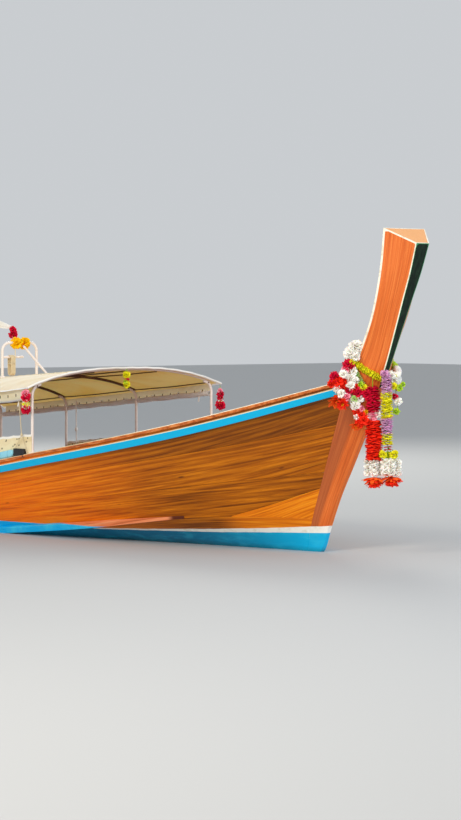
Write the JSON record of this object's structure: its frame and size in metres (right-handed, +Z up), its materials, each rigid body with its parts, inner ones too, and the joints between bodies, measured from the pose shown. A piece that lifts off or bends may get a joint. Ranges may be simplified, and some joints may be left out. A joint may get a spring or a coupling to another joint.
{
  "type": "long-tail passenger boat",
  "caption": "Wooden long-tail passenger boat with a high raked prow, planked hull, cloth canopies and a swivelling long-shaft engine.",
  "frame": {"origin": "on the waterline, on the centreline, amidships", "axes": "+X forward to the bow, +Y to port, +Z up"},
  "size_m": [13.7541, 2.23, 2.9713],
  "materials": {
    "bottom_paint": "gloss blue bottom paint with a white boot stripe",
    "bronze": "bronze",
    "canopy_cloth": "coated canvas, sun-faded",
    "cap_wood": "worn varnish with a cream top edge",
    "cast_iron": "oily cast iron",
    "engine_paint": "worn engine enamel",
    "fuel_plastic": "red plastic",
    "garland": "flowers and ribbons",
    "hull_wood": "varnished planks with dark grain",
    "inner_wood": "worn varnish",
    "rail_paint": "gloss light blue paint on timber",
    "rope": "beige laid rope",
    "seat_cloth": "light blue vinyl",
    "steel": "galvanised steel",
    "stem_wood": "varnished, vertical grain, white painted edges",
    "white_cloth": "coated canvas",
    "white_tube": "white painted tube"
  },
  "bodies": {
    "root": {"aft_deck": "inner_wood", "aft_frames": "inner_wood", "aft_roof_cover": "white_cloth", "aft_roof_frame": "white_tube", "amidships_frames": "inner_wood", "bench_1": "inner_wood", "bench_2": "inner_wood", "bench_3": "inner_wood", "bench_cushion_1": "seat_cloth", "bench_cushion_2": "seat_cloth", "bench_cushion_3": "seat_cloth", "bench_riser_port": "inner_wood", "bench_riser_starboard": "inner_wood", "bottom_planking_aft_port": "bottom_paint", "bottom_planking_aft_starboard": "bottom_paint", "bottom_planking_fore_port": "bottom_paint", "bottom_planking_fore_starboard": "bottom_paint", "bow_frames": "inner_wood", "canopy_cover": "canopy_cloth", "canopy_frame": "white_tube", "chine_rail_port": "rail_paint", "chine_rail_starboard": "rail_paint", "engine_bed": "inner_wood", "floorboards": "inner_wood", "foredeck": "inner_wood", "foredeck_bulkhead": "inner_wood", "fuel_tank": "fuel_plastic", "gunwale_cap_port": "cap_wood", "gunwale_cap_starboard": "cap_wood", "keel": "bottom_paint", "lower_strake_aft_port": "hull_wood", "lower_strake_aft_starboard": "hull_wood", "lower_strake_fore_port": "hull_wood", "lower_strake_fore_starboard": "hull_wood", "middle_strake_port": "hull_wood", "middle_strake_starboard": "hull_wood", "prow_garland": "garland", "roof_hoop": "white_tube", "rope_hank": "rope", "rub_rail_port": "rail_paint", "rub_rail_starboard": "rail_paint", "sheer_strake_port": "hull_wood", "sheer_strake_starboard": "hull_wood", "side_curtain_port": "white_cloth", "side_curtain_starboard": "white_cloth", "stem_post": "stem_wood", "transom": "hull_wood", "weather_cloth_port": "canopy_cloth", "weather_cloth_starboard": "canopy_cloth"},
    "engine_yoke": {"swivel_yoke": "steel"},
    "tail": {"tilt_cradle": "steel", "engine_block": "engine_paint", "cylinder_head": "cast_iron", "oil_sump": "cast_iron", "bell_housing": "cast_iron", "exhaust": "cast_iron", "air_filter": "cast_iron", "front_pulley": "steel", "shaft_tube": "steel"},
    "propeller": {"propeller": "bronze"}
  },
  "joints": [
    {"name": "engine_swivel", "type": "hinge", "parent": "root", "child": "engine_yoke", "pos_m": [-4.85, 0, 0.8], "axis": [0, 0, 1], "range_deg": [-45, 45]},
    {"name": "engine_tilt", "type": "hinge", "parent": "engine_yoke", "child": "tail", "pos_m": [-4.85, 0, 1], "axis": [0, 1, 0], "range_deg": [-5, 24]},
    {"name": "propeller_spin", "type": "hinge", "parent": "tail", "child": "propeller", "pos_m": [-8.54065, 0, -0.13165], "axis": [0.9527, 0, 0.304], "continuous": true}
  ]
}
